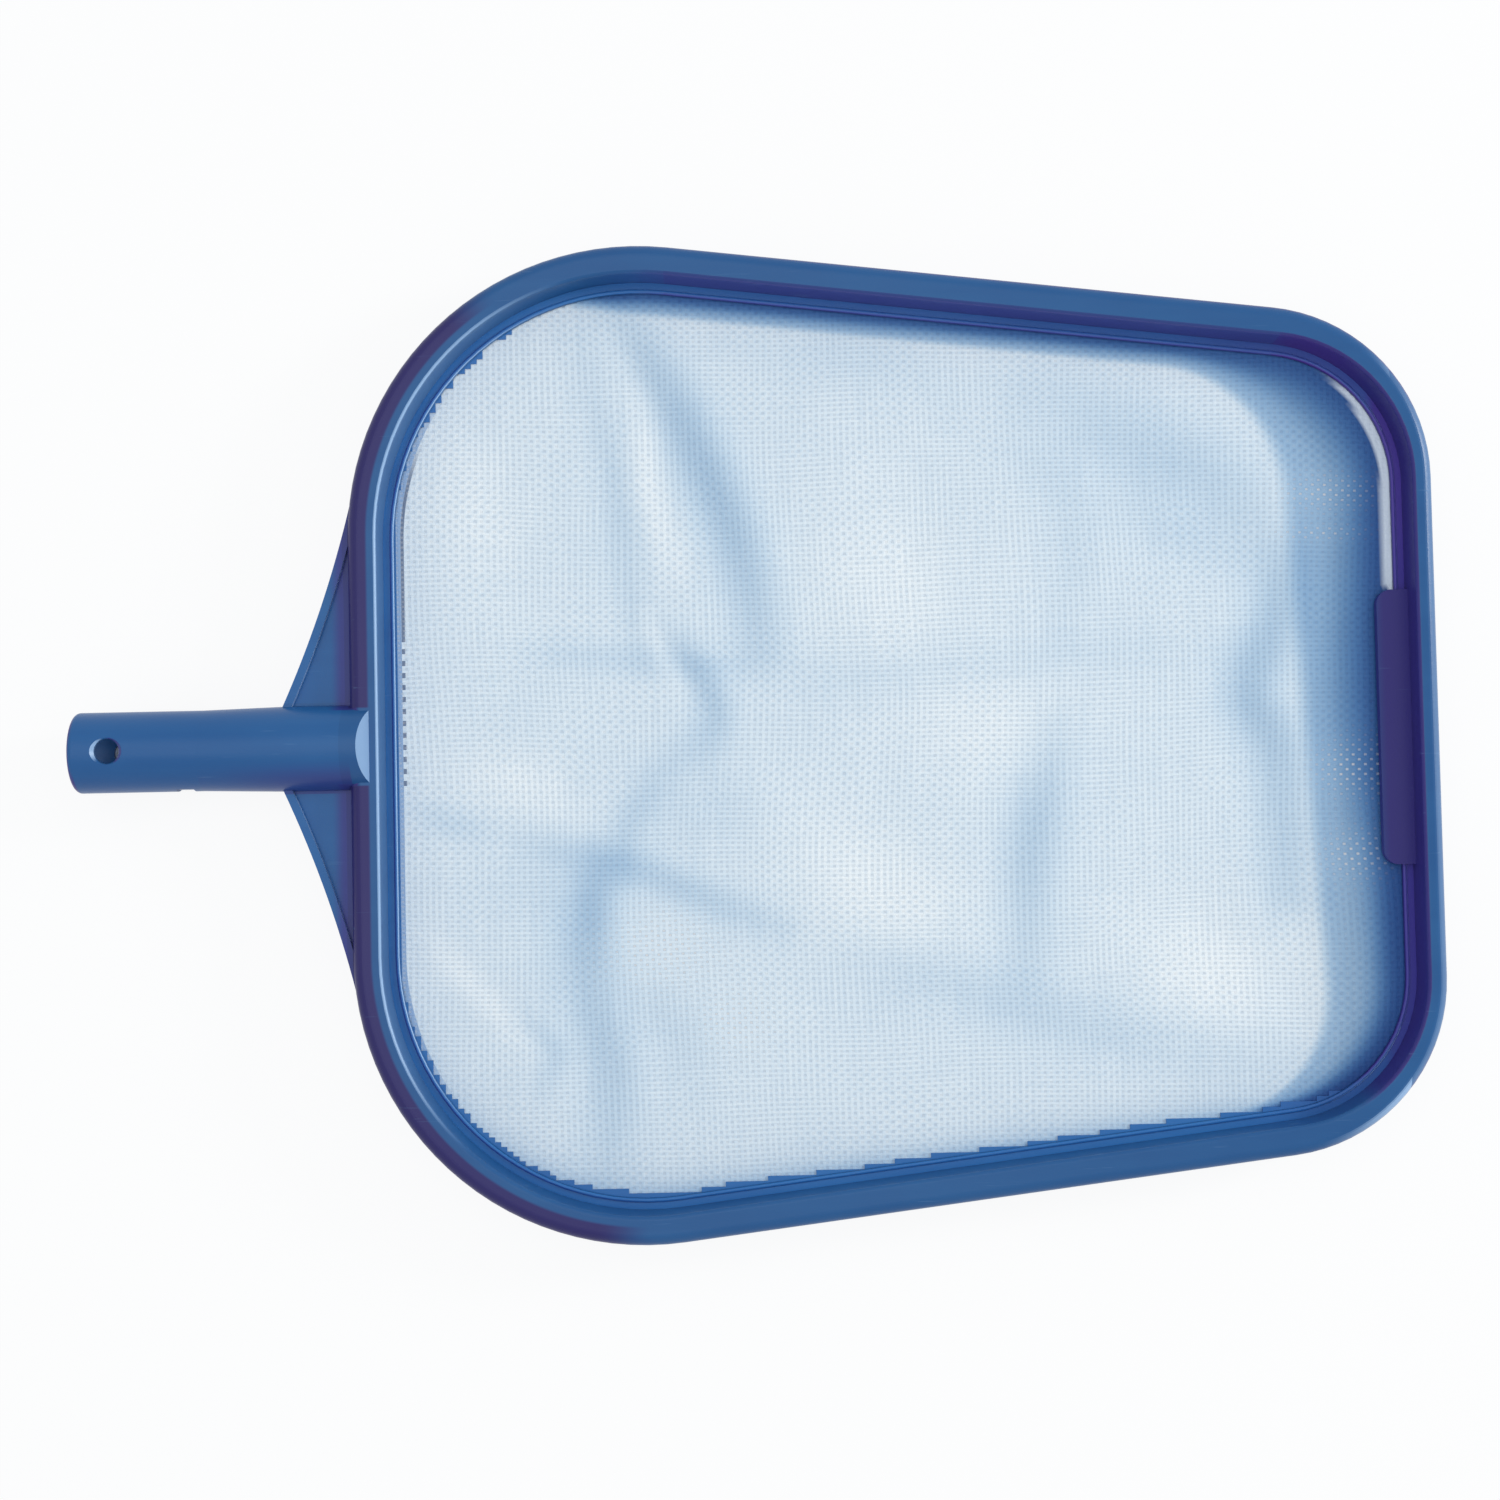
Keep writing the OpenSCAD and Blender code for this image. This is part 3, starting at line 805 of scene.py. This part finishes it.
def woven_mesh(name, weave):
    """A sheer plain weave. The cosine of the place across the threads, one
    turn per pitch, is 1 on a thread's middle and -1 between two; a hole lies
    where both ways are low, and every other one is wider. Two slow noises
    shift the threads by up to two pitches. The cosines of half those turns
    multiply to a chequer that says which thread lies on top, and the rounded
    threads make the bump. Clouds of noise say where the one way of threads,
    the other or their chequer shows most. Painted shade on the threads, the
    rim's shadow beside the bead and the creases, takes red most and blue
    least: the share of red that it leaves is kept per point, green has its
    power 0.62 and blue its power 0.31. Painted light whitens a strip beside the
    bead, and a band of painted highlight and a dark dashed line run beside the
    back edge."""
    material = bpy.data.materials.new(name)
    recipe = Recipe(material)
    place = recipe.place()
    x, y, _ = recipe.parts(place)
    drift = recipe.noise(place, 9.0, 1.0)
    other_drift = recipe.noise(recipe.mapped(place, Location=(0.7, 0.3, 0.0)), 9.0, 1.0)
    u = x / weave.pitch_x + (drift - 0.5) * 5.0
    v = y / weave.pitch_y + (other_drift - 0.5) * 5.0
    across = (u * (2 * math.pi)).cosine()
    along = (v * (2 * math.pi)).cosine()
    chequer = (u * math.pi).cosine() * (v * math.pi).cosine()
    warp = across.ramp(-0.55, 0.35)
    weft = along.ramp(-0.55, 0.35)
    hole = (1.0 - warp) * (1.0 - weft)
    crossing = ((u - 0.5) * math.pi).cosine() * ((v - 0.5) * math.pi).cosine()
    other_hole = crossing < 0.0
    height = (warp * (0.6 + chequer * 0.4)).most(weft * (0.6 - chequer * 0.4))
    # clear: the share of red light that the painted shade leaves per point
    clear, pulled = recipe.kept("clear"), recipe.kept("pulled")
    clouds = recipe.noise(place, 22.0, 2.0)
    warp_noise = recipe.noise(recipe.mapped(place, Scale=(640.0, 45.0, 1.0)), 1.0, 1.0)
    weft_noise = recipe.noise(recipe.mapped(place, Scale=(45.0, 800.0, 1.0)), 1.0, 1.0)
    threads = warp_noise * (0.5 + chequer * 0.5) + weft_noise * (0.5 - chequer * 0.5)
    turn = recipe.noise(place, 75.0, 1.0).ramp(0.38, 0.62)
    shimmer = recipe.noise(place, 48.0, 2.0).ramp(0.42, 0.66)
    tone = across * (0.10 + turn * 0.30) + along * (0.40 - turn * 0.30)
    tone = tone * (1.0 - shimmer * 0.5) + crossing * (0.15 + shimmer * 0.55)
    tone = tone * 0.7 + (threads - 0.5) * 0.9 + (clouds - 0.5) * 0.4 + 0.5
    colour = recipe.mix(
        tone.most(0.0).least(1.0), opaque(weave.thread_blue), opaque(weave.thread_white)
    )
    colour = recipe.mix(hole * (0.1 + other_hole * 0.4), colour, opaque(weave.hole_blue))
    # painted shade of the rim's shadow and the creases, red taken most
    colour = recipe.tinted(colour, clear, clear**0.62, clear**0.31)
    # painted light in the strip beside the bead
    colour = recipe.mix(recipe.kept("lit_strip"), colour, LIT_STRIP_WHITE)
    # a band of painted highlight beside the back edge's bead, and a dark dashed line
    # inside it
    bead_highlight, dashes = back_bead_marks(x, y)
    colour = recipe.mix(bead_highlight * 0.9, colour, BEAD_HIGHLIGHT_BLUE)
    colour = recipe.mix(dashes * 0.85, colour, DASH_BLUE)
    shader = recipe.node(
        "ShaderNodeBsdfPrincipled",
        None,
        {
            "Base Color": colour,
            "Roughness": 0.62 - height * 0.15,
            "Specular IOR Level": 0.3,
            "Alpha": 1.0 - hole * (clear * weave.hole_share + pulled * other_hole * 0.6),
            "Normal": recipe.bump(height, 0.00012, 0.6),
        },
    )
    recipe.surface(shader)
    material.surface_render_method = "DITHERED"
    return material


def pale_ground(name):
    """White ground that shows plain white to the camera and in reflections for
    nine tenths, and keeps the object's shadow for the rest. It keeps more of
    it where it is seen through the net, and all of it under the spigot, where
    it shows in the lock hole."""
    material = bpy.data.materials.new(name)
    recipe = Recipe(material)
    path, seen = recipe.plain_rays()
    through = recipe.more(path, "Transparent Depth") > 0.5
    x, y, _ = recipe.parts(recipe.place())
    middle, half_long, half_wide = SPIGOT_GROUND
    under = (abs(x - middle) < half_long) * (abs(y) < half_wide)
    share = seen * (0.90 - through * 0.30) * (1.0 - under)
    lit = recipe.node("ShaderNodeBsdfDiffuse", None, {"Color": GROUND_WHITE})
    plain = recipe.node("ShaderNodeEmission", None, {"Color": WHITE, "Strength": 1.0})
    recipe.surface(
        recipe.node("ShaderNodeMixShader", None, {0: share, 1: lit, 2: plain})
    )
    return material


# ----------------------------------------------------------------- settings


class SkimmerPlastic(bpy.types.PropertyGroup):
    light_blue: bpy.props.FloatVectorProperty(
        name="Light blue",
        description="Colour of the plastic where it shows palest",
        subtype="COLOR",
        size=3,
        min=0.0,
        max=1.0,
        default=(0.018, 0.108, 0.290),
    )
    deep_blue: bpy.props.FloatVectorProperty(
        name="Deep blue",
        description="Colour of the plastic where it shows deepest",
        subtype="COLOR",
        size=3,
        min=0.0,
        max=1.0,
        default=(0.013, 0.090, 0.262),
    )
    # Painted shade: colour and share of violet on the faces turned from the light side
    violet: bpy.props.FloatVectorProperty(
        name="Violet",
        description="Colour of the faces turned from the light side",
        subtype="COLOR",
        size=3,
        min=0.0,
        max=1.0,
        default=(0.035, 0.022, 0.190),
    )
    violet_share: bpy.props.FloatProperty(
        name="Violet share",
        description="How far those faces turn to violet",
        subtype="FACTOR",
        min=0.0,
        max=1.0,
        default=0.95,
    )
    # Painted highlight: its colour and share on the rounded edges that face the light
    # side
    highlight_blue: bpy.props.FloatVectorProperty(
        name="Edge blue",
        description="Colour of the rounded edges that face the light side",
        subtype="COLOR",
        size=3,
        min=0.0,
        max=1.0,
        default=(0.42, 0.62, 0.90),
    )
    highlight_share: bpy.props.FloatProperty(
        name="Edge share",
        description="How far those edges turn pale",
        subtype="FACTOR",
        min=0.0,
        max=1.0,
        default=0.8,
    )
    roughness: bpy.props.FloatProperty(
        name="Roughness",
        description="Mean roughness of the moulded surface",
        subtype="FACTOR",
        min=0.0,
        max=1.0,
        default=0.34,
    )


class SkimmerNet(bpy.types.PropertyGroup):
    pitch_x: bpy.props.FloatProperty(
        name="Pitch along",
        description="Distance from thread to thread along the part",
        subtype="DISTANCE",
        unit="LENGTH",
        min=0.0005,
        max=0.004,
        precision=5,
        default=0.0018,
    )
    pitch_y: bpy.props.FloatProperty(
        name="Pitch across",
        description="Distance from thread to thread across the part",
        subtype="DISTANCE",
        unit="LENGTH",
        min=0.0005,
        max=0.004,
        precision=5,
        default=0.00145,
    )
    hole_share: bpy.props.FloatProperty(
        name="Open share",
        description="How far a hole of the weave lets the ground show",
        subtype="FACTOR",
        min=0.0,
        max=1.0,
        default=0.22,
    )
    sag: bpy.props.FloatProperty(
        name="Sag",
        description="Depth of the net's bowl at its middle",
        subtype="DISTANCE",
        unit="LENGTH",
        min=0.0,
        max=0.005,
        precision=5,
        default=0.0016,
    )
    fold_slope: bpy.props.FloatProperty(
        name="Fold slope",
        description="Slope of the cloth in a full crease",
        min=0.0,
        max=0.5,
        default=0.16,
    )
    thread_white: bpy.props.FloatVectorProperty(
        name="Thread white",
        description="Palest colour of the threads",
        subtype="COLOR",
        size=3,
        min=0.0,
        max=1.0,
        default=(0.86, 0.93, 0.97),
    )
    thread_blue: bpy.props.FloatVectorProperty(
        name="Thread blue",
        description="Deepest colour of the threads",
        subtype="COLOR",
        size=3,
        min=0.0,
        max=1.0,
        default=(0.635, 0.755, 0.86),
    )
    # The darker blue that the holes of the weave show
    hole_blue: bpy.props.FloatVectorProperty(
        name="Hole blue",
        description="Colour of the fine threads that cross a hole",
        subtype="COLOR",
        size=3,
        min=0.0,
        max=1.0,
        default=(0.52, 0.63, 0.76),
    )
    # Painted shade in the creases: how much light a full crease takes, as a logarithm
    crease_shade: bpy.props.FloatProperty(
        name="Fold film",
        description="How much light a full crease takes, as a logarithm",
        min=0.0,
        max=2.0,
        default=0.45,
    )
    fill_reach: bpy.props.FloatProperty(
        name="Filled reach",
        description="How far the moulding filled the net inside the bead",
        subtype="DISTANCE",
        unit="LENGTH",
        min=0.0,
        max=0.004,
        precision=5,
        default=0.0009,
    )


class SkimmerStage(bpy.types.PropertyGroup):
    floor_size: bpy.props.FloatProperty(
        name="Floor size",
        description="Side of the square floor",
        subtype="DISTANCE",
        unit="LENGTH",
        min=1.0,
        max=20.0,
        default=12.0,
    )
    key_watts: bpy.props.FloatProperty(
        name="Key light",
        description="Power of the low key light",
        subtype="POWER",
        min=0.0,
        max=200.0,
        default=9.9,
    )
    top_watts: bpy.props.FloatProperty(
        name="Top light",
        description="Power of the broad light above",
        subtype="POWER",
        min=0.0,
        max=200.0,
        default=4.7,
    )
    sky_level: bpy.props.FloatProperty(
        name="Sky level",
        description="Strength of the light from all round",
        min=0.0,
        max=2.0,
        default=0.62,
    )


# ---------------------------------------------------------------- operators


def area_light(name, watts, size, direction, distance, colour):
    """A square lamp that looks at the origin from the given direction."""
    lamp = bpy.data.lights.new(name, "AREA")
    lamp.energy, lamp.size, lamp.color = watts, size, colour
    holder = bpy.data.objects.new(name, lamp)
    bpy.context.scene.collection.objects.link(holder)
    back = np.asarray(direction, float) / np.linalg.norm(direction)
    right = np.cross((0.0, 1.0, 0.0) if abs(back[2]) > 0.9 else (0.0, 0.0, 1.0), back)
    right /= np.linalg.norm(right)
    up = np.cross(back, right)
    turn = np.eye(4)
    turn[:3, :3] = np.stack([right, up, back], 1)
    turn[:3, 3] = back * distance
    holder.matrix_world = Matrix(turn.tolist())


class SKIMMER_OT_stage(bpy.types.Operator):
    """Sets the camera, the floor, the light from all round and two lamps"""

    bl_idname = "skimmer.stage"
    bl_label = "Stage and camera"

    def execute(self, context):
        stage = context.scene.skimmer_stage
        self.set_camera(context.scene)
        half = stage.floor_size / 2
        corner = np.array([(-1, -1), (1, -1), (1, 1), (-1, 1)]) * half
        floor = new_piece(
            "floor", np.column_stack([corner, np.zeros(4)]), [[0, 1, 2, 3]], False
        )
        floor.data.materials.append(pale_ground("pale_ground"))
        world = bpy.data.worlds.new("studio")
        context.scene.world = world
        recipe = Recipe(world)
        _, seen = recipe.plain_rays()
        soft, white = (
            recipe.node("ShaderNodeBackground", None, {"Color": tone, "Strength": level})
            for tone, level in ((SKY_WHITE, stage.sky_level), (WHITE, 1.0))
        )
        mixed = recipe.node("ShaderNodeMixShader", None, {0: seen, 1: soft, 2: white})
        recipe.node("ShaderNodeOutputWorld", None, {"Surface": mixed})
        area_light(
            "key",
            watts=stage.key_watts,
            size=0.30,
            direction=KEY_DIRECTION,
            distance=1.6,
            colour=(1.0, 0.985, 0.95),
        )
        area_light(
            "top",
            watts=stage.top_watts,
            size=1.2,
            direction=(-0.15, 0.1, 1.0),
            distance=1.5,
            colour=(0.95, 0.98, 1.0),
        )
        context.scene.view_settings.view_transform = "Standard"
        return {"FINISHED"}

    @staticmethod
    def set_camera(scene):
        """Looks down at the part, a little from the right of its spigot."""
        data = bpy.data.cameras.new("camera")
        data.lens, data.sensor_width = CAMERA_LENS, CAMERA_SENSOR
        data.clip_start, data.clip_end = 0.01, 50.0
        camera = bpy.data.objects.new("camera", data)
        scene.collection.objects.link(camera)
        camera.matrix_world = (
            Matrix.Translation(CAMERA_PLACE)
            @ Matrix.Rotation(CAMERA_LEAN, 4, "X")
            @ Matrix.Rotation(CAMERA_ROLL, 4, "Z")
        )
        scene.camera = camera


class SKIMMER_OT_plastic(bpy.types.Operator):
    """Gives the rim, spigot, gussets and tab their moulded plastic"""

    bl_idname = "skimmer.plastic"
    bl_label = "Moulded parts"

    def execute(self, context):
        plastic = moulded_plastic("skimmer_blue", context.scene.skimmer_plastic)
        for name in ("rim", "spigot", "left_gusset", "right_gusset", "edge_tab"):
            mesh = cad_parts[name].data
            mesh.materials.clear()
            mesh.materials.append(plastic)
        return {"FINISHED"}


class SKIMMER_OT_net(bpy.types.Operator):
    """Weaves the net into the slot of the bead, with its sag and folds"""

    bl_idname = "skimmer.net"
    bl_label = "Woven net"

    def execute(self, context):
        weave = context.scene.skimmer_net
        points, inwards, outward, creased = net_surface(
            NET_RINGS, NET_SPOKES, weave.sag, weave.fold_slope
        )
        net = new_piece("woven_net", points, disc_faces(NET_RINGS, NET_SPOKES))
        plan = points[:, :2]
        # painted shade: the rim's shadow beside the bead, and painted shade in a crease
        # and painted light on a swell, within limits
        shading = painted_rim_shade(plan, inwards, outward)
        shading = shading + weave.crease_shade * np.clip(creased, -0.6, 1.3)
        # kept as the share of red light that the painted shade leaves
        point_values(net, "clear", np.exp(-shading))
        point_values(net, "pulled", pulled_open(plan))
        # painted light in the strip beside the bead
        point_values(net, "lit_strip", painted_lit_strip(plan, inwards))
        net.data.materials.append(woven_mesh("sheer_weave", weave))
        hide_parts("net")
        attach(net, "root")
        return {"FINISHED"}


class SKIMMER_OT_filled_cells(bpy.types.Operator):
    """Adds the cells of the weave that the moulding filled beside the bead"""

    bl_idname = "skimmer.filled_cells"
    bl_label = "Filled cells"

    def execute(self, context):
        weave = context.scene.skimmer_net
        pitch = (weave.pitch_x, weave.pitch_y)
        filled, first = filled_cells(pitch, weave.fill_reach, FILL_WAVER)
        points, quads = cell_slab(
            filled, first, pitch, NET_LEVEL - FILL_BELOW, NET_LEVEL + FILL_ABOVE
        )
        cells = new_piece("filled_cells", points, quads, False)
        cells.data.materials.append(bpy.data.materials["skimmer_blue"])
        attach(cells, "root")
        return {"FINISHED"}


class SKIMMER_PT_parts(bpy.types.Panel):
    """Lists the pieces and their settings in the sidebar"""

    bl_idname = "SKIMMER_PT_parts"
    bl_label = "Leaf skimmer net"
    bl_space_type = "VIEW_3D"
    bl_region_type = "UI"
    bl_category = "Skimmer"

    def draw(self, context):
        layout = self.layout
        for operator in OPERATORS:
            layout.operator(operator.bl_idname)
        for holder in SETTINGS:
            group = getattr(context.scene, holder)
            box = layout.box()
            for name in SETTINGS[holder].__annotations__:
                box.prop(group, name)


SETTINGS = {
    "skimmer_plastic": SkimmerPlastic,
    "skimmer_net": SkimmerNet,
    "skimmer_stage": SkimmerStage,
}
OPERATORS = (
    SKIMMER_OT_stage,
    SKIMMER_OT_plastic,
    SKIMMER_OT_net,
    SKIMMER_OT_filled_cells,
)


def register():
    for kind in (*SETTINGS.values(), *OPERATORS, SKIMMER_PT_parts):
        bpy.utils.register_class(kind)
    for holder, group in SETTINGS.items():
        setattr(bpy.types.Scene, holder, bpy.props.PointerProperty(type=group))


def unregister():
    for holder in SETTINGS:
        delattr(bpy.types.Scene, holder)
    for kind in (SKIMMER_PT_parts, *OPERATORS[::-1], *SETTINGS.values()):
        bpy.utils.unregister_class(kind)


def main():
    register()
    bpy.ops.skimmer.stage()
    bpy.ops.skimmer.plastic()
    bpy.ops.skimmer.net()
    bpy.ops.skimmer.filled_cells()


if __name__ == "__main__":
    main()
